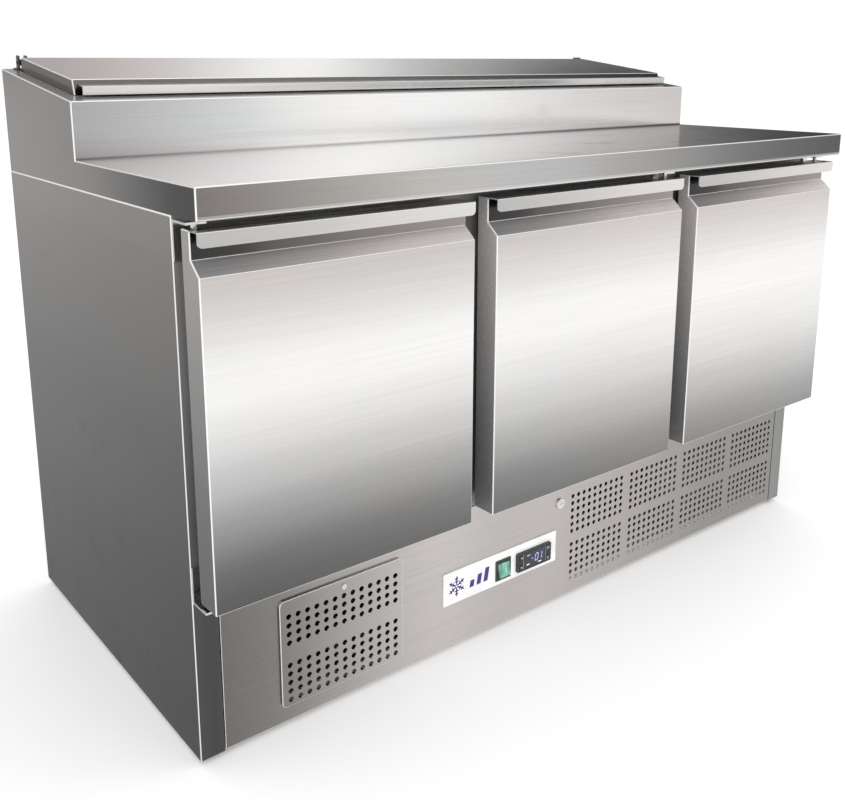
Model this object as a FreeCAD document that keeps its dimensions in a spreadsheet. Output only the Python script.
import FreeCAD, Part
import Sketcher
import os
import re

# Three-door refrigerated preparation counter: an insulated cabinet on low glides, a worktop
# in front of a raised, sloping pan deck with a hinged lid, and a tilting service panel over
# the refrigeration unit.
# Millimetres. +Z is up, the front faces -Y and +X is to the right seen from the front.
# The origin is on the floor, under the middle of the counter's outline.

V = FreeCAD.Vector

SIZES = {
    # overall outline
    "width": 1365,
    "depth": 700,
    "overhang": 70,
    "foot_height": 10,
    "skin": 1.5,
    "liner": 1,
    "edge_round": 2.4,
    "back_recess": 6,
    # stepped top unit
    "top_unit_bottom": 756,
    "worktop_height": 796,
    "raised_front_height": 879,
    "raised_back_height": 922,
    "raised_depth": 315,
    "well_half_width": 641,
    "well_start": 88,
    "well_end": 248,
    "well_back": 300,
    "pan_pitch": 162,
    "pan_depth": 100,
    # insulated box
    "frame_bottom": 244,
    "frame_throat": 40,
    "opening_inset": 34,
    "cavity_half_width": 644,
    "cavity_back": 310,
    "cavity_bottom": 284,
    "cavity_top": 711,
    # doors
    "door_width": 424,
    "door_gap": 42,
    "door_bottom": 253,
    "door_face_top": 688,
    "door_bevel_top": 706,
    "door_top": 742,
    "door_bevel_depth": 21,
    "door_stand_off": 60,
    "door_thickness": 42,
    "door_sheet": 1.2,
    "lip_drop": 19,
    "lip_corner": 7,
    "pivot_inset": 12,
    "pivot_depth": 32,
    "pivot_radius": 4,
    "pivot_bore": 4.06,
    "pivot_reach": 18,
    "gasket_inset": 14,
    "gasket_width": 14,
    "gasket_gap": 0.4,
    "dish_inset": 38,
    "dish_depth": 11,
    # lid, measured along the sloping deck
    "lid_half_width": 660,
    "lid_start": 47,
    "lid_end": 289,
    "lid_thickness": 22,
    "lid_lean": 9,
    "lid_ceiling": 8,
    "lid_seat": 0.6,
    "lid_pivot_start": 302,
    "lid_pivot_lift": 12,
    "lid_pin_radius": 2.5,
    "lid_pin_bore": 2.56,
    "lid_handle_reach": 17,
    "lid_handle_drop": 13,
    # service panel
    "stile_width": 36,
    "panel_half_width": 645,
    "panel_bottom": 12,
    "panel_top": 242,
    "panel_depth": 18,
    "panel_pivot_rise": 20,
    "panel_pivot_setback": 10,
    "panel_pin_radius": 3,
    "panel_pin_bore": 3.06,
    # left vent cover
    "cover_left": -557,
    "cover_right": -343,
    "cover_bottom": 36,
    "cover_top": 203,
    "cover_depth": 4,
    "cover_corner": 9,
    "cover_hole": 4.2,
    "cover_column_pitch": 15.45,
    "cover_row_pitch": 13.6,
    # right vent field
    "vent_first_column": 32,
    "vent_first_row": 36.5,
    "vent_column_pitch": 14.2,
    "vent_row_pitch": 13.2,
    "vent_block_pitch": 155.6,
    "vent_tier_pitch": 91.5,
    "vent_hole": 3.9,
    # controls
    "fascia_left": -261,
    "fascia_right": -10,
    "fascia_bottom": 87,
    "fascia_top": 143,
    "fascia_depth": 2,
    "rocker_centre": -134,
    "control_height": 112,
    "rocker_half_width": 12.5,
    "rocker_half_height": 14,
    "bezel_border": 4,
    "bezel_wall": 1.5,
    "controller_centre": -65,
    "controller_half_width": 39.5,
    "controller_half_height": 17,
    "controller_proud": 5,
    "controller_body_depth": 58,
    "controller_step": 4.2,
    "controller_step_height": 2.7,
    "panel_play": 0.2,
    "display_half_width": 24,
    "display_half_height": 13,
    "key_half_width": 3.6,
    "key_half_height": 4.2,
    "key_offset": 31,
    "key_rise": 9,
    "key_depth": 4.3,
    "key_proud": 0.9,
    "lock_height": 190,
    "lock_radius": 9.5,
    "lock_plug_radius": 5.8,
    "lock_clearance": 0.06,
    # openings in the back
    "gland_x": -520,
    "gland_height": 110,
    "gland_radius": 9.5,
    "slot_first_x": 330,
    "slot_first_height": 90,
    "slot_pitch": 30,
    "slot_rise": 22,
    "slot_length": 20,
    "slot_width": 6,
    # shelves
    "shelf_height": 480,
    "shelf_front": -228,
    "shelf_back": 226,
    "shelf_half_width": 164,
    "shelf_rim_radius": 3,
    "shelf_wire_radius": 1.8,
    "shelf_wire_pitch": 24,
    "post_width": 10,
    # refrigeration
    "fan_height": 600,
    "evaporator_half_width": 170,
    "evaporator_half_height": 96,
    "evaporator_depth": 78,
    "evaporator_fan_radius": 74,
    "pipe_radius": 5,
    "pipe_x": 120,
    "pipe_back": 326,
    "pipe_height": 120,
    "riser_start": 164.2,
    "discharge_turn_x": 320,
    "discharge_turn_y": -60,
    "condenser_fan_x": 470,
    "condenser_fan_height": 118,
    "condenser_fan_radius": 78,
    "condenser_half_width": 125,
    "condenser_half_height": 90,
    "condenser_setback": 42,
    "condenser_depth": 36,
    "shroud_depth": 44,
    "compressor_x": 150,
    "compressor_y": 90,
    "compressor_radius": 78,
    "compressor_bottom": 34,
    "compressor_top": 206,
    "drip_tray_x": -470,
    "drip_tray_y": -35,
    "drip_tray_half_width": 90,
    "drip_tray_half_depth": 95,
    "drip_tray_top": 46,
}

DERIVED = {
    "half_width": "width / 2",
    "front": "-depth / 2",
    "back": "depth / 2",
    "frame_front": "overhang - depth / 2",
    "frame_back": "frame_front + frame_throat",
    "back_face": "back - back_recess",
    "raised_front": "back - raised_depth",
    "door_pitch": "door_width + door_gap",
    "door_front": "frame_front - door_stand_off",
    "door_back": "door_front + door_thickness",
    "door_recess": "door_front + door_bevel_depth",
    "pivot_y": "door_front + pivot_depth",
    "opening_half": "door_width / 2 - opening_inset",
    "opening_bottom": "door_bottom + opening_inset",
    "opening_top": "door_top - opening_inset",
    "well_front": "raised_front + well_start - 2",
    "panel_back": "frame_front + panel_depth",
    "panel_pivot_y": "frame_front + panel_pivot_setback",
    "tray_floor": "foot_height + 2 * skin",
    "condenser_front": "frame_front + condenser_setback",
    "condenser_back": "condenser_front + condenser_depth",
    "shroud_back": "condenser_back + shroud_depth",
}

PAN_COUNT = 8
SLOT_COLUMNS = 9
SLOT_ROWS = 5
BLADE_COUNT = 5
HINGE_SIDES = (-1, 1, 1)
KEY_PLACES = ((-1, 1), (-1, -1), (1, 1), (1, -1))
KEY_NAMES = ("key_up", "key_down", "key_set", "key_defrost")
WORD = re.compile(r"[a-z][a-z_]+")

doc = FreeCAD.newDocument("prep_counter")
dims = doc.addObject("Spreadsheet::Sheet", "dims")
nodes = []


def fill_sheet():
    for row, (alias, value) in enumerate(SIZES.items(), start=1):
        dims.set(f"A{row}", alias)
        dims.set(f"B{row}", str(value))
        dims.setAlias(f"B{row}", alias)


def spelled_out(formula):
    """The formula with each derived name replaced by its own formula."""
    text = str(formula)
    while any(word in DERIVED for word in WORD.findall(text)):
        text = WORD.sub(lambda m: f"({DERIVED[m[0]]})" if m[0] in DERIVED else m[0], text)
    return text


def bound(formula):
    """The formula as an expression on the sheet's cells."""
    return WORD.sub(lambda m: "dims." + m[0] if m[0] in SIZES else m[0], spelled_out(formula))


def number(formula):
    """The formula's value in millimetres."""
    text = WORD.sub(lambda m: f"({SIZES[m[0]]})" if m[0] in SIZES else m[0], spelled_out(formula))
    return FreeCAD.Units.Quantity(text).Value


def on_side(side, inner, outer):
    """A span along X at these distances from the middle, on the left (-1) or right (1)."""
    return (inner, outer) if side > 0 else (f"-({outer})", f"-({inner})")


def minus(low, high):
    return f"({high}) - ({low})"


def plus(*terms):
    return " + ".join(f"({term})" for term in terms)


def about(centre, reach):
    """A span that reaches equally far to both sides of its centre."""
    return f"({centre}) - ({reach})", f"({centre}) + ({reach})"


# ---------------------------------------------------------------- building blocks

def box(name, x_span, y_span, z_span):
    """A block between pairs of formulas along each axis."""
    block = doc.addObject("Part::Box", name)
    spans = (x_span, y_span, z_span)
    for size, letter, (low, high) in zip(("Length", "Width", "Height"), "xyz", spans):
        block.setExpression(size, bound(minus(low, high)))
        block.setExpression(f"Placement.Base.{letter}", bound(low))
    return block


def rod(name, along, centre, radius, span):
    """A cylinder along one axis; centre holds the two other coordinates in X, Y, Z order."""
    cylinder = doc.addObject("Part::Cylinder", name)
    turns = {"x": (V(0, 1, 0), 90), "y": (V(1, 0, 0), -90), "z": (V(0, 0, 1), 0)}
    cylinder.Placement = FreeCAD.Placement(V(), FreeCAD.Rotation(*turns[along]))
    cylinder.setExpression("Radius", bound(radius))
    cylinder.setExpression("Height", bound(minus(*span)))
    others = [letter for letter in "xyz" if letter != along]
    for letter, place in zip(others, centre):
        cylinder.setExpression(f"Placement.Base.{letter}", bound(place))
    cylinder.setExpression(f"Placement.Base.{along}", bound(span[0]))
    return cylinder


def fuse(name, *parts):
    union = doc.addObject("Part::MultiFuse", name)
    union.Shapes = list(parts)
    union.Refine = True
    return union


def cut(name, base, *tools):
    tool = tools[0] if len(tools) == 1 else group(name + "_tools", *tools)
    difference = doc.addObject("Part::Cut", name)
    difference.Base = base
    difference.Tool = tool
    return difference


def group(name, *parts):
    """Separate solids that share one sub-part."""
    compound = doc.addObject("Part::Compound", name)
    compound.Links = list(parts)
    return compound


def tray(name, x_span, y_span, z_span, wall, open_side):
    """A box with walls all round except on one side, such as "-y" or "+z"."""
    inner = []
    for letter, (low, high) in zip("xyz", (x_span, y_span, z_span)):
        start = f"({low}) - 1" if open_side == "-" + letter else plus(low, wall)
        end = plus(high, 1) if open_side == "+" + letter else f"({high}) - ({wall})"
        inner.append((start, end))
    outer = box(name + "_outer", x_span, y_span, z_span)
    hollow = box(name + "_hollow", *inner)
    return cut(name, outer, hollow)


def frame_ring(name, x_span, y_span, z_span, border):
    """A rectangular ring in the X-Z plane."""
    outer = box(name + "_outer", x_span, y_span, z_span)
    hole_x = (plus(x_span[0], border), f"({x_span[1]}) - ({border})")
    hole_y = (f"({y_span[0]}) - 1", plus(y_span[1], 1))
    hole_z = (plus(z_span[0], border), f"({z_span[1]}) - ({border})")
    return cut(name, outer, box(name + "_hole", hole_x, hole_y, hole_z))


def round_edges(name, base, radius, test):
    """Rounds the edges of base that pass the test."""
    doc.recompute()
    rounded = doc.addObject("Part::Fillet", name)
    rounded.Base = base
    size = number(radius)
    chosen = [i for i, edge in enumerate(base.Shape.Edges, start=1) if test(edge)]
    rounded.Edges = [(index, size, size) for index in chosen]
    return rounded


def sub_part(name, thing):
    thing.Label = name
    nodes.append(thing)
    return thing


def outline(body, name, plane_role, points):
    """A closed sketch of straight runs whose corners are bound to the sheet."""
    sketch = body.newObject("Sketcher::SketchObject", name)
    planes = [item for item in body.Origin.OriginFeatures if item.Role == plane_role]
    sketch.AttachmentSupport = [(planes[0], "")]
    sketch.MapMode = "FlatFace"
    corners = [V(number(across), number(up), 0) for across, up in points]
    count = len(corners)
    for index in range(count):
        sketch.addGeometry(Part.LineSegment(corners[index], corners[(index + 1) % count]))
    for index in range(count):
        sketch.addConstraint(Sketcher.Constraint("Coincident", index, 2, (index + 1) % count, 1))
    for index, (across, up) in enumerate(points):
        for kind, formula in (("DistanceX", across), ("DistanceY", up)):
            constraint = Sketcher.Constraint(kind, index, 1, number(formula))
            place = sketch.addConstraint(constraint)
            sketch.setExpression(f"Constraints[{place}]", bound(formula))
    return sketch


def prism(name, points, width, base=None):
    """A Body whose Y-Z outline is padded by width, half to each side of X = 0."""
    body = base or doc.addObject("PartDesign::Body", name)
    sketch = outline(body, name + "_sketch", "YZ_Plane", points)
    pad = body.newObject("PartDesign::Pad", name + "_pad")
    pad.Profile = sketch
    pad.Midplane = True
    pad.setExpression("Length", bound(width))
    return body


def hollow_out(body, name, points, width):
    """Pockets a Y-Z outline out of a Body, half to each side of X = 0."""
    sketch = outline(body, name + "_sketch", "YZ_Plane", points)
    pocket = body.newObject("PartDesign::Pocket", name + "_pocket")
    pocket.Profile = sketch
    pocket.Midplane = True
    pocket.setExpression("Length", bound(width))
    return body


def soften(body, name, radius, test):
    """Rounds edges of a Body that pass the test."""
    doc.recompute()
    base = body.Tip
    names = [f"Edge{i}" for i, edge in enumerate(base.Shape.Edges, start=1) if test(edge)]
    fillet = body.newObject("PartDesign::Fillet", name)
    fillet.Base = (base, names)
    fillet.setExpression("Radius", bound(radius))
    return body


def runs_along(edge, letter):
    start, end = (vertex.Point for vertex in (edge.Vertexes[0], edge.Vertexes[-1]))
    step = end - start
    return step.Length > 0.1 and abs(getattr(step, letter)) > 0.999 * step.Length


def middle(edge):
    return edge.BoundBox.Center


def near(value, formula):
    return abs(value - number(formula)) < 0.05


def onto_deck(thing):
    """Moves a piece drawn on a level deck at the origin onto the sloping pan deck."""
    rise = bound(minus("raised_front_height", "raised_back_height"))
    thing.Placement = FreeCAD.Placement(V(), FreeCAD.Rotation(V(1, 0, 0), 1))
    thing.setExpression("Placement.Rotation.Angle", f"atan(({rise}) / dims.raised_depth)")
    thing.setExpression("Placement.Base.y", bound("raised_front"))
    thing.setExpression("Placement.Base.z", bound("raised_front_height"))
    return thing


# ---------------------------------------------------------------- cabinet shell

def side_panel(name, side):
    """Outer side sheet with a front stile, a back return and a foot return."""
    tall = ("foot_height", "top_unit_bottom")
    inner_face = "half_width - skin"
    sheet = box(name + "_sheet", on_side(side, inner_face, "half_width"), ("frame_front", "back"), tall)
    stile = box(name + "_stile", on_side(side, "half_width - stile_width", "half_width"),
                ("frame_front", "frame_front + skin"), ("foot_height", "frame_bottom - 1"))
    back_return = box(name + "_back_return", on_side(side, "half_width - 22", "half_width"),
                      ("back - skin", "back"), tall)
    foot_return = box(name + "_foot_return", on_side(side, "half_width - 22", "half_width"),
                      ("frame_front", "back"), ("foot_height", "foot_height + skin"))
    folded = fuse(name + "_folded", sheet, stile, back_return, foot_return)

    def outer_corner(edge):
        place = middle(edge)
        return runs_along(edge, "z") and near(abs(place.x), "half_width")

    return sub_part(name, round_edges(name, folded, "edge_round - 0.6", outer_corner))


def back_panel():
    sheet = box("back_sheet", ("skin - half_width", "half_width - skin"),
                ("back_face - skin", "back_face"), ("foot_height + 30", "top_unit_bottom"))
    slots = []
    for column in range(SLOT_COLUMNS):
        for row in range(SLOT_ROWS):
            low_x = f"slot_first_x + {column} * slot_pitch"
            low_z = f"slot_first_height + {row} * slot_rise"
            slots.append(box("back_slot", (low_x, f"{low_x} + slot_length"),
                             ("back_face - 4", "back_face + 1"), (low_z, f"{low_z} + slot_width")))
    gland_hole = rod("gland_hole", "y", ("gland_x", "gland_height"), "gland_radius",
                     ("back_face - 4", "back_face + 1"))
    return sub_part("back_panel", cut("back_panel", sheet, *slots, gland_hole))


def base_pan():
    """Floor of the machine space, with an ear at each end that carries the service panel."""
    pan = tray("base_tray", ("24 - half_width", "half_width - 24"),
               ("frame_front + 26", "back_face - skin"), ("foot_height + skin", "foot_height + 26"),
               "skin", "+z")
    ears = []
    for side in (-1, 1):
        x_span = on_side(side, "panel_half_width + 3", "panel_half_width + 6")
        ears.append(box("panel_ear", x_span, ("frame_front + 3", "frame_front + 30"),
                        ("foot_height + 1", "foot_height + 20")))
    bores = [rod("ear_bore", "x", ("panel_pivot_y", "panel_pivot_rise"), "panel_pin_bore",
                 on_side(side, "panel_half_width + 2", "panel_half_width + 8")) for side in (-1, 1)]
    whole = fuse("base_with_ears", pan, *ears)
    return sub_part("base_pan", cut("base_pan", whole, *bores))


def feet():
    pads = []
    for side in (-1, 1):
        for y_place in ("frame_front + 90", "back - 60"):
            x_place = f"{side} * (half_width - 70)"
            disc = rod("foot_disc", "z", (x_place, y_place), "19", ("0", "6"))
            stem = rod("foot_stem", "z", (x_place, y_place), "9", ("6", "foot_height"))
            pads.append(fuse("glide", disc, stem))
    return sub_part("levelling_glides", group("levelling_glides", *pads))


def door_centres():
    return [f"{place} * door_pitch" for place in (-1, 0, 1)]


def front_frame():
    """Door surround with a throat through each of its three openings."""
    throats = []
    holes = []
    for centre in door_centres():
        outer_x = (f"{centre} - opening_half - liner", f"{centre} + opening_half + liner")
        inner_x = (f"{centre} - opening_half", f"{centre} + opening_half")
        outer_z = ("opening_bottom - liner", "opening_top + liner")
        throats.append(box("throat", outer_x, ("frame_front", "frame_back"), outer_z))
        holes.append(box("opening", inner_x, ("frame_front - 1", "frame_back + 1"),
                         ("opening_bottom", "opening_top")))
    plate = box("frame_plate", ("skin - half_width", "half_width - skin"),
                ("frame_front", "frame_front + skin"), ("frame_bottom", "top_unit_bottom"))
    catch_plate = box("catch_plate", ("-15", "15"), ("frame_front + 8", "frame_front + 10"),
                      ("208", "frame_bottom"))
    catch_web = box("catch_web", ("-15", "15"), ("frame_front", "frame_front + 10"),
                    ("frame_bottom", "frame_bottom + 2"))
    whole = fuse("frame_folded", plate, *throats, catch_plate, catch_web)
    return sub_part("front_frame", cut("front_frame", whole, *holes))


def inner_liner():
    """Inner box with a wide mouth in front and the pan well in its ceiling."""
    shell = tray("liner_box", ("-cavity_half_width - liner", "cavity_half_width + liner"),
                 ("frame_back", "cavity_back + liner"), ("cavity_bottom - liner", "cavity_top + liner"),
                 "liner", "-y")
    well = box("liner_well", ("-well_half_width", "well_half_width"),
               ("well_front", "well_back"), ("cavity_top - 2", "cavity_top + 4"))
    pipe_hole = rod("liner_pipe_hole", "y", ("pipe_x", "fan_height"), "pipe_radius + 1",
                    ("cavity_back - 2", "cavity_back + 4"))
    return sub_part("inner_liner", cut("inner_liner", shell, well, pipe_hole))


def insulation():
    """Foam between the skins: the box, the mullions and the three fillings of the top unit."""
    outer = box("foam_outer", ("skin - half_width", "half_width - skin"),
                ("frame_back", "back_face - skin"), ("frame_bottom", "top_unit_bottom"))
    hollow = box("foam_hollow", ("-cavity_half_width - liner", "cavity_half_width + liner"),
                 ("frame_back - 1", "cavity_back + liner"),
                 ("cavity_bottom - liner", "cavity_top + liner"))
    well = box("foam_well", ("-well_half_width - liner", "well_half_width + liner"),
               ("well_front - liner", "well_back + liner"), ("cavity_top", "top_unit_bottom + 1"))
    riser = rod("foam_riser", "z", ("pipe_x", "pipe_back"), "pipe_radius + 1",
                ("frame_bottom - 1", "fan_height + 2 * pipe_radius"))
    branch = rod("foam_branch", "y", ("pipe_x", "fan_height"), "pipe_radius + 0.7",
                 ("cavity_back - 2", "pipe_back"))
    shell = cut("foam_box", outer, hollow, well, riser, branch)
    pieces = [shell]
    for side in (-1, 1):
        low = f"{side} * door_pitch / 2 - door_pitch / 2 + opening_half + liner"
        high = f"{side} * door_pitch / 2 + door_pitch / 2 - opening_half - liner"
        pieces.append(box("foam_mullion", (low, high), ("frame_front + skin", "frame_back"),
                          ("opening_bottom", "opening_top")))
    wide = ("skin - half_width", "half_width - skin")
    pieces.append(box("foam_worktop", wide, ("frame_front + skin", "raised_front"),
                      ("top_unit_bottom", "worktop_height - skin")))
    pieces.append(box("foam_raised_front", wide, ("raised_front + skin", "well_front - liner"),
                      ("top_unit_bottom", "raised_front_height - skin")))
    pieces.append(box("foam_raised_back", wide, ("well_back + liner", "back - skin"),
                      ("top_unit_bottom", "raised_back_height - 12")))
    return sub_part("cabinet_insulation", group("cabinet_insulation", *pieces))


# ---------------------------------------------------------------- stepped top unit

def top_outline(inset):
    """The stepped side view of the top unit, or its inside where inset is the sheet."""
    slope_inset = f"({inset}) * 0.85"
    return [
        (f"front + ({inset})", "top_unit_bottom" if inset == "0" else "top_unit_bottom - 1"),
        (f"front + ({inset})", f"worktop_height - ({inset})"),
        (f"raised_front + ({inset})", f"worktop_height - ({inset})"),
        (f"raised_front + ({inset})", f"raised_front_height - ({slope_inset})"),
        (f"back - ({inset})", f"raised_back_height - ({inset}) * 1.1"),
        (f"back - ({inset})", "top_unit_bottom" if inset == "0" else "top_unit_bottom - 1"),
    ]


def top_shell():
    """Worktop, riser and pan deck folded from one sheet, open below."""
    body = prism("top_shell", top_outline("0"), "width")

    def shown(edge):
        place = middle(edge)
        at_foot = near(place.z, "top_unit_bottom") and not near(place.y, "front")
        in_corner = near(place.y, "raised_front") and near(place.z, "worktop_height")
        return not at_foot and not in_corner

    soften(body, "top_shell_edges", "edge_round", shown)
    hollow_out(body, "top_shell_inside", top_outline("skin"), "width - 2 * skin")
    deck_tool = onto_deck(group("deck_well_tool", box(
        "deck_well", ("-well_half_width", "well_half_width"), ("well_start", "well_end"),
        ("-12", "8"))))
    opened = cut("top_shell_open", body, deck_tool)
    return_sheet = box("worktop_return", ("skin - half_width", "half_width - skin"),
                       ("front + 0.5", "frame_front - 4"),
                       ("top_unit_bottom", "top_unit_bottom + skin"))
    return sub_part("worktop_shell", fuse("worktop_shell", opened, return_sheet))


def pan_well():
    """Upright sheet walls from the cabinet's ceiling to the underside of the sloping deck."""
    outer = box("well_outer", ("-well_half_width - liner", "well_half_width + liner"),
                ("well_front - liner", "well_back + liner"), ("cavity_top + liner", "930"))
    inner = box("well_inner", ("-well_half_width", "well_half_width"),
                ("well_front", "well_back"), ("cavity_top - 5", "940"))
    above = onto_deck(group("above_deck", box("above_deck_block", ("-half_width", "half_width"),
                                              ("0", "raised_depth + 10"), ("-skin * 1.2", "90"))))
    return sub_part("pan_well_liner", cut("pan_well_liner", outer, inner, above))


def pan_set():
    """One row of sixth-size food pans hanging by their rims in the deck opening."""
    pans = []
    for place in range(PAN_COUNT):
        centre = f"{place - (PAN_COUNT - 1) / 2} * pan_pitch"
        body = box("pan_body", (f"{centre} - pan_pitch / 2 + 7", f"{centre} + pan_pitch / 2 - 7"),
                   ("well_start + 2", "well_end - 2"), ("-pan_depth", "0.2"))
        rim = box("pan_rim", (f"{centre} - pan_pitch / 2 + 0.4", f"{centre} + pan_pitch / 2 - 0.4"),
                  ("well_start - 8", "well_end + 8"), ("0.1", "1.1"))
        inside = box("pan_inside",
                     (f"{centre} - pan_pitch / 2 + 7.8", f"{centre} + pan_pitch / 2 - 7.8"),
                     ("well_start + 2.8", "well_end - 2.8"), ("0.8 - pan_depth", "3"))
        pans.append(cut("pan", fuse("pan_blank", body, rim), inside))
    return sub_part("food_pans", onto_deck(group("food_pans", *pans)))


def pan_bars():
    bars = []
    for place in range(1, PAN_COUNT):
        centre = f"{place - PAN_COUNT / 2} * pan_pitch"
        bars.append(box("pan_bar", (f"{centre} - 4", f"{centre} + 4"),
                        ("well_start", "well_end"), ("-9", "-0.2")))
    return sub_part("pan_support_bars", onto_deck(group("pan_support_bars", *bars)))


# ---------------------------------------------------------------- lid

def lid_outline(inset, floor):
    """Side view of the lid: its front face leans back towards the top."""
    return [
        (f"lid_start + {inset}", floor),
        (f"lid_start + lid_lean + {inset} * 0.8", f"lid_thickness - {inset}"),
        (f"lid_end - {inset}", f"lid_thickness - {inset}"),
        (f"lid_end - {inset}", floor),
    ]


def lid():
    skin = prism("lid_shell", lid_outline("0", "lid_seat"), "2 * lid_half_width")

    def not_below(edge):
        return not near(middle(edge).z, "lid_seat")

    soften(skin, "lid_shell_edges", "edge_round", not_below)
    hollow_out(skin, "lid_shell_inside", lid_outline("door_sheet", "lid_seat - 1"),
               "2 * lid_half_width - 2 * door_sheet")
    sub_part("lid_skin", onto_deck(skin))

    inside_x = ("door_sheet - lid_half_width", "lid_half_width - door_sheet")
    inside_y = ("lid_start + lid_lean + 1.2", "lid_end - door_sheet")
    ceiling = box("lid_ceiling", inside_x, inside_y, ("lid_ceiling - liner", "lid_ceiling"))
    sub_part("lid_liner", onto_deck(group("lid_liner", ceiling)))
    core = box("lid_core", inside_x, inside_y, ("lid_ceiling", "lid_thickness - door_sheet"))
    sub_part("lid_insulation", onto_deck(group("lid_insulation", core)))


def lid_handle():
    """A folded strip along the lid's front, open below for the fingers."""
    reach = "lid_start - lid_handle_reach"
    top = "3 + lid_handle_drop"
    face = f"lid_start + lid_lean * ({top}) / lid_thickness"
    handle = prism("lid_handle_shell", [
        (reach, "3"), (reach, top), (f"{face} - 0.2", top), (f"{face} - 0.8", f"{top} - skin"),
        (f"{reach} + skin", f"{top} - skin"), (f"{reach} + skin", "3")],
        "2 * lid_half_width - 14")

    def outer_fold(edge):
        return runs_along(edge, "x") and near(middle(edge).y, reach)

    soften(handle, "lid_handle_edges", "0.6", outer_fold)
    sub_part("lid_handle", onto_deck(handle))


def lid_hinges():
    """Arms with fixed pins on the lid, turning in twin ears on the deck."""
    arms = []
    brackets = []
    pivot = ("lid_pivot_start", "lid_pivot_lift")
    for side in (-1, 1):
        arm = box("lid_arm", on_side(side, "lid_half_width - 8.5", "lid_half_width - 2.5"),
                  ("lid_end", "lid_pivot_start"), ("lid_pivot_lift - 5", "lid_pivot_lift + 5"))
        eye = rod("lid_eye", "x", pivot, "5", on_side(side, "lid_half_width - 8.5",
                                                      "lid_half_width - 2.5"))
        pin = rod("lid_pin", "x", pivot, "lid_pin_radius", on_side(side, "lid_half_width - 14",
                                                                   "lid_half_width + 3"))
        arms.append(fuse("lid_hinge_arm", arm, eye, pin))
        ears = []
        for inner, outer in (("13", "10"), ("1", "-2")):
            ears.append(box("lid_ear", on_side(side, f"lid_half_width - {inner}",
                                               f"lid_half_width - ({outer})"),
                            ("lid_pivot_start - 5", "lid_pivot_start + 5"),
                            ("1", "lid_pivot_lift + 11")))
        foot = box("lid_bracket_foot", on_side(side, "lid_half_width - 16", "lid_half_width + 5"),
                   ("lid_pivot_start - 8", "lid_pivot_start + 12"), ("0", "2"))
        bore = rod("lid_bore", "x", pivot, "lid_pin_bore", on_side(side, "lid_half_width - 20",
                                                                   "lid_half_width + 6"))
        brackets.append(cut("lid_bracket", fuse("lid_bracket_blank", foot, *ears), bore))
    sub_part("lid_hinge_arms", onto_deck(group("lid_hinge_arms", *arms)))
    sub_part("lid_hinge_brackets", onto_deck(group("lid_hinge_brackets", *brackets)))


# ---------------------------------------------------------------- doors

def door_outline(inset, back):
    """Side view: flat face, bevel, then a set-back strip behind the finger gap."""
    return [
        (f"door_front + {inset}", f"door_bottom + {inset}"),
        (f"door_front + {inset}", f"door_face_top - {inset} * 0.5"),
        (f"door_recess + {inset}", f"door_bevel_top - {inset} * 0.5"),
        (f"door_recess + {inset}", f"door_top - {inset}"),
        (back, f"door_top - {inset}"),
        (back, f"door_bottom + {inset}"),
    ]


def hinge_bores(side, radius):
    """Tools for the two pin bores at the hinge side of a door."""
    centre = (f"{side} * (door_width / 2 - pivot_inset)", "pivot_y")
    return [rod("door_bore", "z", centre, radius, span) for span in
            (("door_top - pivot_reach - 1", "door_top + 1"),
             ("door_bottom - 1", "door_bottom + pivot_reach + 1"))]


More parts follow.
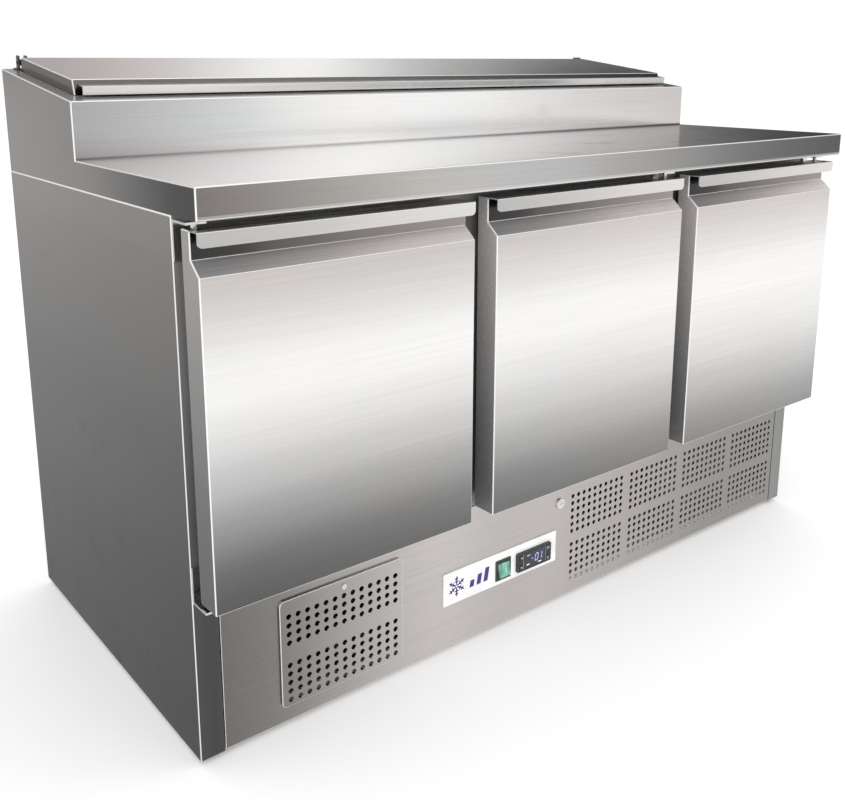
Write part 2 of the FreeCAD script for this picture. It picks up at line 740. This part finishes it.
def door(name, centre, side):
    """One door, drawn at X = 0 with its hinge on the side given, then moved to its centre."""
    def placed(label, thing):
        thing.setExpression("Placement.Base.x", bound(centre))
        return sub_part(label, thing)

    shell = prism(name + "_shell", door_outline("0", "door_back"), "door_width")

    def on_front(edge):
        return not near(middle(edge).y, "door_back")

    soften(shell, name + "_edges", "edge_round - 0.3", on_front)
    hollow_out(shell, name + "_inside", door_outline("door_sheet", "door_back + 1"),
               "door_width - 2 * door_sheet")
    lip = prism(name + "_lip", [
        ("door_recess + 0.9", "door_top"), ("door_front", "door_top"),
        ("door_front", "door_top - lip_drop"), ("door_front + skin", "door_top - lip_drop"),
        ("door_front + skin", "door_top - skin"), ("door_recess + 0.9", "door_top - skin")],
        "door_width")

    def lip_corner(edge):
        return runs_along(edge, "y") and near(middle(edge).z, "door_top - lip_drop")

    def lip_fold(edge):
        place = middle(edge)
        return runs_along(edge, "x") and near(place.y, "door_front") and near(place.z, "door_top")

    soften(lip, name + "_lip_corners", "lip_corner", lip_corner)
    soften(lip, name + "_lip_fold", "edge_round - 0.6", lip_fold)
    whole = fuse(name + "_skin_whole", shell, lip)
    placed(name + "_skin", cut(name + "_skin", whole, *hinge_bores(side, "pivot_bore")))

    core = prism(name + "_core", door_outline("door_sheet", "door_back - door_sheet"),
                 "door_width - 2 * door_sheet")
    placed(name + "_insulation", cut(name + "_insulation", core,
                                     *hinge_bores(side, "pivot_radius + 1.5")))

    half = "door_width / 2"
    plate = box(name + "_back_plate", (f"door_sheet - {half}", f"{half} - door_sheet"),
                ("door_back - door_sheet", "door_back"),
                ("door_bottom + door_sheet", "door_top - door_sheet"))
    dish = box(name + "_dish", (f"dish_inset - {half}", f"{half} - dish_inset"),
               ("door_back - door_sheet", "door_back + dish_depth"),
               ("door_bottom + dish_inset", "door_top - dish_inset"))
    rounded = round_edges(name + "_dish_round", dish, "6", lambda edge: runs_along(edge, "y"))
    hollow = box(name + "_dish_hollow", (f"dish_inset + liner - {half}", f"{half} - dish_inset - liner"),
                 ("door_back - 3", "door_back + dish_depth - liner"),
                 ("door_bottom + dish_inset + liner", "door_top - dish_inset - liner"))
    placed(name + "_inner_panel", cut(name + "_inner_panel",
                                      fuse(name + "_back_whole", plate, rounded), hollow))

    gasket = frame_ring(name + "_gasket", (f"gasket_inset - {half}", f"{half} - gasket_inset"),
                        ("door_back", "frame_front - gasket_gap"),
                        ("door_bottom + gasket_inset", "door_top - gasket_inset"), "gasket_width")
    placed(name + "_gasket", gasket)


def door_hinge_brackets(sides):
    """Angle brackets on the frame, each with the pin that a door turns on."""
    brackets = []
    for centre, side in zip(door_centres(), sides):
        pin_x = f"{centre} + {side} * (door_width / 2 - pivot_inset)"
        plate_x = (f"{pin_x} - 12", f"{pin_x} + 15") if side > 0 else (f"{pin_x} - 15", f"{pin_x} + 12")
        leg_x = (f"{pin_x}", f"{pin_x} + 15") if side > 0 else (f"{pin_x} - 15", pin_x)
        for low, leg, pin in (("door_top + 6", ("door_top - 42", "door_top + 9"),
                               ("door_top - pivot_reach", "door_top + 7")),
                              ("door_bottom - 7", ("door_bottom - 7", "door_bottom + 44"),
                               ("door_bottom - 5", "door_bottom + pivot_reach"))):
            plate = box("hinge_plate", plate_x, ("pivot_y - 9", "frame_front"), (low, f"{low} + 3"))
            upright = box("hinge_leg", leg_x, ("frame_front - 3", "frame_front"), leg)
            stud = rod("hinge_pin", "z", (pin_x, "pivot_y"), "pivot_radius", pin)
            brackets.append(fuse("hinge_bracket", plate, upright, stud))
    return sub_part("door_hinge_brackets", group("door_hinge_brackets", *brackets))


# ---------------------------------------------------------------- service panel

def hole_field(name, centres, radius, start, length):
    """Round punches along +Y at the given X and Z places."""
    punches = [Part.makeCylinder(radius, length, V(x, start, z), V(0, 1, 0)) for x, z in centres]
    field = doc.addObject("Part::Feature", name)
    field.Shape = Part.makeCompound(punches)
    return field


def right_vent_centres():
    centres = []
    for block in range(4):
        for tier in range(2):
            for column in range(10):
                for row in range(6):
                    x = SIZES["vent_first_column"] + block * SIZES["vent_block_pitch"]
                    z = SIZES["vent_first_row"] + tier * SIZES["vent_tier_pitch"]
                    centres.append((x + column * SIZES["vent_column_pitch"],
                                    z + row * SIZES["vent_row_pitch"]))
    return centres


def cover_hole_centres():
    """Thirteen columns in a lower group of five rows and an upper group of four."""
    middle_x = number("(cover_left + cover_right) / 2")
    low = SIZES["cover_bottom"] + 10.5
    rows = [low + row * SIZES["cover_row_pitch"] for row in range(5)]
    rows += [low + 89.5 + row * SIZES["cover_row_pitch"] for row in range(4)]
    return [(middle_x + column * SIZES["cover_column_pitch"], z)
            for column in range(-6, 7) for z in rows]


def rocker_window():
    """X and Z spans of the sleeve that the rocker sits in."""
    return (about("rocker_centre", "rocker_half_width + bezel_wall"),
            about("control_height", "rocker_half_height + bezel_wall"))


def controller_window(play):
    """X and Z spans of the controller's body behind its rim, with play round it."""
    return (about("controller_centre", f"controller_half_width - controller_step + {play}"),
            about("control_height", f"controller_half_height - controller_step_height + {play}"))


def service_panel():
    pan = tray("panel_tray", ("-panel_half_width", "panel_half_width"), ("frame_front", "panel_back"),
               ("panel_bottom", "panel_top"), "door_sheet", "+y")

    def front_fold(edge):
        return near(middle(edge).y, "frame_front")

    folded = round_edges("panel_folded", pan, "1.1", front_fold)
    stubs = [rod("panel_stub", "x", ("panel_pivot_y", "panel_pivot_rise"), "panel_pin_radius",
                 on_side(side, "panel_half_width - 1", "panel_half_width + 7")) for side in (-1, 1)]
    whole = fuse("panel_whole", folded, *stubs)
    through = ("frame_front - 2", "frame_front + 5")
    window = box("cover_window", ("cover_left + 8", "cover_right - 8"), through,
                 ("cover_bottom + 6", "cover_top - 8"))
    rocker_x, rocker_z = rocker_window()
    controller_x, controller_z = controller_window("panel_play")
    rocker_hole = box("rocker_hole", rocker_x, through, rocker_z)
    controller_hole = box("controller_hole", controller_x, through, controller_z)
    lock_hole = rod("lock_hole", "y", ("0", "lock_height"), "lock_radius - 1.5", through)
    notch = box("catch_notch", ("-22", "22"), ("frame_front + 5", "panel_back + 1"),
                ("panel_top - 3", "panel_top + 1"))
    vents = hole_field("right_vents", right_vent_centres(), SIZES["vent_hole"],
                       number("frame_front - 2"), 6)
    sub_part("lower_front_panel", cut("lower_front_panel", whole, window, rocker_hole,
                                      controller_hole, lock_hole, notch, vents))


def vent_cover():
    x_span = ("cover_left", "cover_right")
    z_span = ("cover_bottom", "cover_top")
    block = box("cover_block", x_span, ("frame_front - cover_depth", "frame_front"), z_span)
    cornered = round_edges("cover_cornered", block, "cover_corner", lambda edge: runs_along(edge, "y"))
    front = "frame_front - cover_depth"
    softened = round_edges("cover_softened", cornered, "1.5",
                           lambda edge: abs(middle(edge).y - number(front)) < 0.01)
    hollow = box("cover_hollow", ("cover_left + 3", "cover_right - 3"),
                 (f"{front} + 1.2", "frame_front + 1"), ("cover_bottom + 3", "cover_top - 3"))
    holes = hole_field("cover_holes", cover_hole_centres(), SIZES["cover_hole"], number(front) - 2, 8)
    screw_x = "(cover_left + cover_right) / 2"
    screw_hole = rod("cover_screw_hole", "y", (screw_x, "cover_top - 11.5"), "2.5",
                     (f"{front} - 2", "frame_front + 2"))
    sub_part("left_vent_cover", cut("left_vent_cover", softened, hollow, holes, screw_hole))
    head = rod("cover_screw_head", "y", (screw_x, "cover_top - 11.5"), "4.2",
               (f"{front} - 1.6", front))
    shank = rod("cover_screw_shank", "y", (screw_x, "cover_top - 11.5"), "2.4",
                (front, "frame_front - 0.2"))
    sub_part("vent_cover_screw", fuse("vent_cover_screw", head, shank))


def fascia_and_switch():
    front = "frame_front - fascia_depth"
    plate = box("fascia_plate", ("fascia_left", "fascia_right"), (front, "frame_front"),
                ("fascia_bottom", "fascia_top"))
    rounded = round_edges("fascia_rounded", plate, "2", lambda edge: runs_along(edge, "y"))
    rocker_x, rocker_z = rocker_window()
    controller_x, controller_z = controller_window("panel_play")
    through = (f"{front} - 1", "frame_front + 1")
    rocker_hole = box("fascia_rocker_hole", rocker_x, through, rocker_z)
    controller_hole = box("fascia_controller_hole", controller_x, through, controller_z)
    sub_part("control_fascia", cut("control_fascia", rounded, rocker_hole, controller_hole))

    rim = box("bezel_rim", about("rocker_centre", "rocker_half_width + bezel_border"),
              (f"{front} - 2.5", front), about("control_height", "rocker_half_height + bezel_border"))
    soft_rim = round_edges("bezel_soft_rim", rim, "1.2",
                           lambda edge: abs(middle(edge).y - number(f"{front} - 2.5")) < 0.01)
    sleeve = box("bezel_sleeve", rocker_x, (front, "frame_front + 24"), rocker_z)
    inside = box("bezel_inside", about("rocker_centre", "rocker_half_width"),
                 (f"{front} - 4", "frame_front + 22"), about("control_height", "rocker_half_height"))
    sub_part("rocker_bezel", cut("rocker_bezel", fuse("bezel_whole", soft_rim, sleeve), inside))

    rocker = prism("rocker_body", [
        ("frame_front + 4", "control_height - 11.5"), ("frame_front - 8", "control_height - 12"),
        ("frame_front - 5", "control_height"), ("frame_front - 4.6", "control_height + 12"),
        ("frame_front + 4", "control_height + 11.5")], "2 * rocker_half_width - 0.8")
    rocker.setExpression("Placement.Base.x", bound("rocker_centre"))
    sub_part("power_rocker", rocker)


def controller():
    """Panel-mounted thermostat with a display window between two pairs of keys."""
    face = "frame_front - fascia_depth - controller_proud"
    rim_back = "frame_front - fascia_depth"
    rim = box("controller_rim", about("controller_centre", "controller_half_width"), (face, rim_back),
              about("control_height", "controller_half_height"))
    cornered = round_edges("controller_cornered", rim, "3", lambda edge: runs_along(edge, "y"))
    soft = round_edges("controller_soft", cornered, "1",
                       lambda edge: abs(middle(edge).y - number(face)) < 0.01)
    body_x, body_z = controller_window("0")
    body = box("controller_body", body_x, (rim_back, "frame_front + controller_body_depth"), body_z)
    recess = box("display_recess", about("controller_centre", "display_half_width"),
                 (f"{face} - 1", f"{face} + 1.6"), about("control_height", "display_half_height"))
    key_back = f"{face} - key_proud + key_depth"
    wells = []
    for name, (column, row) in zip(KEY_NAMES, KEY_PLACES):
        key_x = f"controller_centre + {column} * key_offset"
        key_z = f"control_height + {row} * key_rise"
        wells.append(box(name + "_well", about(key_x, "key_half_width + 0.4"),
                         (f"{face} - 1", f"{key_back} + 1"), about(key_z, "key_half_height + 0.4")))
        key = box(name + "_block", about(key_x, "key_half_width"), (f"{face} - key_proud", key_back),
                  about(key_z, "key_half_height"))
        sub_part(name, round_edges(name, key, "0.8", lambda edge: not near(middle(edge).y, key_back)))
    sub_part("controller_housing", cut("controller_housing", fuse("controller_whole", soft, body),
                                       recess, *wells))
    lens = box("display_lens", about("controller_centre", "display_half_width - 0.2"),
               (f"{face} + 0.2", f"{face} + 1.6"), about("control_height", "display_half_height - 0.2"))
    sub_part("display_lens", lens)


def cam_lock():
    """Round lock whose cam, turned up, sits behind the catch plate on the door surround."""
    def at(low, high):
        return f"frame_front + ({low})", f"frame_front + ({high})"

    axis = ("0", "lock_height")
    flange = rod("lock_flange", "y", axis, "lock_radius", at("-3", "0"))
    soft_flange = round_edges("lock_soft_flange", flange, "0.8",
                              lambda edge: abs(middle(edge).y - number("frame_front - 3")) < 0.01)
    body = rod("lock_body", "y", axis, "lock_radius - 1.5", at("0", "11.6"))
    bore = rod("lock_bore", "y", axis, "lock_plug_radius + lock_clearance", at("-4", "12"))
    sub_part("lock_barrel", cut("lock_barrel", fuse("lock_blank", soft_flange, body), bore))

    plug = rod("lock_plug_rod", "y", axis, "lock_plug_radius", at("-3.4", "14"))
    cam = box("lock_cam", ("-6", "30"), at("12", "14"), ("lock_height - 6", "lock_height + 6"))
    slot = box("lock_slot", ("-4", "4"), at("-4", "-1.4"), ("lock_height - 0.8", "lock_height + 0.8"))
    sub_part("lock_plug", cut("lock_plug", fuse("lock_plug_whole", plug, cam), slot))


# ---------------------------------------------------------------- shelves and refrigeration

def shelves():
    """Wire shelves, one to a bay, on rails with posts."""
    racks = []
    supports = []
    for centre in door_centres():
        across = about(centre, "shelf_half_width")
        rods = [rod("shelf_rim", "y", (x_place, "shelf_height"), "shelf_rim_radius",
                    ("shelf_front", "shelf_back")) for x_place in across]
        for y_place in ("shelf_front", "(shelf_front + shelf_back) / 2", "shelf_back"):
            rods.append(rod("shelf_cross", "x", (y_place, "shelf_height"), "shelf_rim_radius", across))
        for wire in range(-6, 7):
            wire_place = (f"{centre} + {wire} * shelf_wire_pitch", "shelf_height + shelf_rim_radius")
            rods.append(rod("shelf_wire", "y", wire_place, "shelf_wire_radius",
                            ("shelf_front", "shelf_back")))
        racks.append(fuse("wire_shelf", *rods))
        for side in (-1, 1):
            rail_x = about(f"{centre} + {side} * (shelf_half_width + 4)", "post_width")
            post_x = about(f"{centre} + {side} * (shelf_half_width + 9)", "post_width / 2")
            rail = box("rail", rail_x, ("shelf_front", "shelf_back"),
                       ("shelf_height - 6", "shelf_height - 3"))
            posts = [box("post", post_x, (y_place, f"{y_place} + post_width"),
                         ("cavity_bottom", "cavity_top - liner"))
                     for y_place in ("shelf_front", "shelf_back - post_width")]
            supports.append(fuse("shelf_support", rail, *posts))
    sub_part("wire_shelves", group("wire_shelves", *racks))
    sub_part("shelf_supports", group("shelf_supports", *supports))


def fan_blades(name, x, y, z, radius):
    """Hub with a shaft bore and pitched blades, turning about Y."""
    hub = Part.makeCylinder(14, 18, V(0, 0, 0), V(0, 1, 0))
    blades = []
    for index in range(BLADE_COUNT):
        blade = Part.makeBox(radius - 10, 1.6, 46, V(10, 8.2, -23))
        blade.rotate(V(0, 9, 0), V(1, 0, 0), 32)
        blade.rotate(V(0, 0, 0), V(0, 1, 0), 360 * index / BLADE_COUNT)
        blades.append(blade)
    swept = Part.makeCylinder(radius, 60, V(0, -20, 0), V(0, 1, 0))
    bore = Part.makeCylinder(3.06, 14, V(0, 4, 0), V(0, 1, 0))
    blank = hub.fuse(blades).common(swept).cut(bore)
    fan = doc.addObject("Part::Feature", name)
    fan.Shape = blank.removeSplitter()
    fan.Placement = FreeCAD.Placement(V(x, y, z), FreeCAD.Rotation())
    return sub_part(name, fan)


def fan_motor(name, x, y_face, z, length, arm_span):
    """Motor can, its shaft towards -Y, on a flat cross bar."""
    can = rod(name + "_can", "y", (x, z), "26", (y_face, f"{y_face} + {length}"))
    shaft = rod(name + "_shaft", "y", (x, z), "3", (f"{y_face} - 14", y_face))
    bar = box(name + "_bar", (f"{x} - {arm_span}", f"{x} + {arm_span}"),
              (f"{y_face} + {length} - 3", f"{y_face} + {length}"), (f"{z} - 7", f"{z} + 7"))
    return sub_part(name, fuse(name, can, shaft, bar))


def coil(name, x_span, y_span, z_span):
    """Finned block with end plates standing proud."""
    core = box(name + "_core", (f"{x_span[0]} + 6", f"{x_span[1]} - 6"), y_span, z_span)
    plates = [box(name + "_end", (low, high), (f"{y_span[0]} - 2", y_span[1]), z_span)
              for low, high in ((x_span[0], f"{x_span[0]} + 6"), (f"{x_span[1]} - 6", x_span[1]))]
    return sub_part(name, fuse(name, core, *plates))


def evaporator():
    cover_front = "cavity_back - evaporator_depth"
    coil("evaporator_coil", about("0", "evaporator_half_width - 10"), ("cavity_back - 26", "cavity_back"),
         about("fan_height", "evaporator_half_height - 8"))
    cover = tray("evaporator_tray", about("0", "evaporator_half_width"), (cover_front, "cavity_back"),
                 about("fan_height", "evaporator_half_height"), "liner", "+y")
    opening = rod("evaporator_opening", "y", ("0", "fan_height"), "evaporator_fan_radius + 6",
                  (f"{cover_front} - 2", f"{cover_front} + 8"))
    pipe_gap = rod("cover_pipe_gap", "y", ("pipe_x", "fan_height"), "pipe_radius + 1",
                   ("cavity_back - 3", "cavity_back + 3"))
    sub_part("evaporator_cover", cut("evaporator_cover", cover, opening, pipe_gap))
    fan_motor("evaporator_fan_motor", "0", "cavity_back - 47", "fan_height", 19, 150)
    fan_blades("evaporator_fan", 0, number("cavity_back - 70"), SIZES["fan_height"],
               SIZES["evaporator_fan_radius"])


def condenser():
    """Finned coil with its shroud, fan and motor."""
    across = about("condenser_fan_x", "condenser_half_width")
    upright = about("condenser_fan_height", "condenser_half_height")
    coil("condenser_coil", across, ("condenser_front", "condenser_back"), upright)
    shroud_x = about("condenser_fan_x", "condenser_half_width + 2")
    shroud = tray("shroud_tray", shroud_x, ("condenser_back", "shroud_back"),
                  about("condenser_fan_height", "condenser_half_height + 2"), "skin", "-y")
    opening = rod("shroud_opening", "y", ("condenser_fan_x", "condenser_fan_height"),
                  "condenser_fan_radius + 6", ("shroud_back - 12", "shroud_back + 8"))
    skirt = box("shroud_skirt", shroud_x, ("shroud_back - 22", "shroud_back"),
                ("tray_floor", f"{upright[0]} - 1"))
    stays = [box("motor_stay", about(f"condenser_fan_x + {side} * 105", "4"),
                 ("shroud_back", "shroud_back + 46"), about("condenser_fan_height", "7"))
             for side in (-1, 1)]
    sub_part("condenser_shroud", cut("condenser_shroud", fuse("shroud_whole", shroud, skirt, *stays),
                                     opening))
    fan_motor("condenser_fan_motor", "condenser_fan_x", "shroud_back + 18", "condenser_fan_height",
              31, 109)
    fan_blades("condenser_fan", SIZES["condenser_fan_x"], number("shroud_back - 6"),
               SIZES["condenser_fan_height"], SIZES["condenser_fan_radius"])


def compressor():
    """Domed can and its terminal box on a plate with four rubber feet, and the drip tray."""
    can = rod("compressor_can", "z", ("compressor_x", "compressor_y"), "compressor_radius",
              ("compressor_bottom", "compressor_top"))
    domed = round_edges("compressor_dome", can, "compressor_radius - 40",
                        lambda edge: edge.Curve.TypeId == "Part::GeomCircle")
    plate = box("compressor_plate", about("compressor_x", "95"), about("compressor_y", "70"),
                ("compressor_bottom - 4", "compressor_bottom + 2"))
    grommets = [rod("grommet", "z", (f"compressor_x + {sx} * 82", f"compressor_y + {sy} * 56"), "10",
                    ("tray_floor", "compressor_bottom - 4")) for sx in (-1, 1) for sy in (-1, 1)]
    terminal_box = box("terminal_box", ("compressor_x + 72", "compressor_x + 96"),
                       about("compressor_y", "24"), about("pipe_height + 10", "30"))
    sub_part("compressor", fuse("compressor", domed, plate, terminal_box, *grommets))
    sub_part("drip_tray", tray("drip_tray", about("drip_tray_x", "drip_tray_half_width"),
                               about("drip_tray_y", "drip_tray_half_depth"),
                               ("tray_floor", "drip_tray_top"), "skin", "+z"))


def pipe_run(corners, radius):
    """Straight tubes with ball joints at the turns."""
    shape = None
    for start, end in zip(corners, corners[1:]):
        step = end - start
        tube = Part.makeCylinder(radius, step.Length, start, step)
        shape = tube if shape is None else shape.fuse(tube)
    for corner in corners[1:-1]:
        shape = shape.fuse(Part.makeSphere(radius, corner))
    return shape.removeSplitter()


def piping():
    """Discharge line to the condenser and the line that rises to the evaporator."""
    radius = SIZES["pipe_radius"]
    pipe_x = SIZES["pipe_x"]
    back = SIZES["pipe_back"]
    level = SIZES["pipe_height"]
    turn_x = SIZES["discharge_turn_x"]
    turn_y = SIZES["discharge_turn_y"]
    coil_y = number("condenser_front + 23")
    can_x = SIZES["compressor_x"]
    discharge = [V(can_x, number("compressor_y - compressor_radius - 0.1"), level),
                 V(can_x, turn_y, level), V(turn_x, turn_y, level), V(turn_x, coil_y, level),
                 V(number("condenser_fan_x - condenser_half_width - 0.5"), coil_y, level)]
    riser = [V(pipe_x, SIZES["riser_start"], level), V(pipe_x, back, level),
             V(pipe_x, back, SIZES["fan_height"]),
             V(pipe_x, SIZES["cavity_back"] + 0.2, SIZES["fan_height"])]
    lines = doc.addObject("Part::Feature", "refrigerant_lines")
    lines.Shape = Part.makeCompound([pipe_run(discharge, radius), pipe_run(riser, radius)])
    sub_part("refrigerant_lines", lines)


def cable_gland():
    axis = ("gland_x", "gland_height")
    flange = rod("gland_flange", "y", axis, "14", ("back_face", "back_face + 5"))
    neck = rod("gland_neck", "y", axis, "gland_radius - 0.2", ("back_face - 14", "back_face"))
    nut = rod("gland_nut", "y", axis, "13", ("back_face - 10", "back_face - skin"))
    bore = rod("gland_bore", "y", axis, "4.5", ("back_face - 16", "back_face + 6"))
    sub_part("cable_gland", cut("cable_gland", fuse("gland_whole", flange, neck, nut), bore))


# ---------------------------------------------------------------- checks and export

def check_document():
    for item in doc.Objects:
        faults = [state for state in item.State if state in ("Invalid", "Error")]
        if faults:
            raise RuntimeError(f"{item.Name} ({item.Label}) failed to build: {faults}")
    for node in nodes:
        if node.Shape.isNull() or not node.Shape.isValid():
            raise RuntimeError(f"{node.Label} has no valid shape")


def export_nodes():
    os.makedirs("parts", exist_ok=True)
    for node in nodes:
        node.Shape.exportStep(os.path.join("parts", node.Label + ".step"))


def build():
    fill_sheet()
    doc.recompute()
    side_panel("side_panel_left", -1)
    side_panel("side_panel_right", 1)
    back_panel()
    base_pan()
    feet()
    front_frame()
    inner_liner()
    insulation()
    top_shell()
    pan_well()
    pan_set()
    pan_bars()
    lid()
    lid_handle()
    lid_hinges()
    for name, centre, side in zip(("door_left", "door_middle", "door_right"), door_centres(), HINGE_SIDES):
        door(name, centre, side)
    door_hinge_brackets(HINGE_SIDES)
    service_panel()
    vent_cover()
    fascia_and_switch()
    controller()
    cam_lock()
    shelves()
    evaporator()
    condenser()
    compressor()
    piping()
    cable_gland()
    doc.recompute()
    check_document()
    export_nodes()
    print(len(nodes), "sub-parts written")


build()
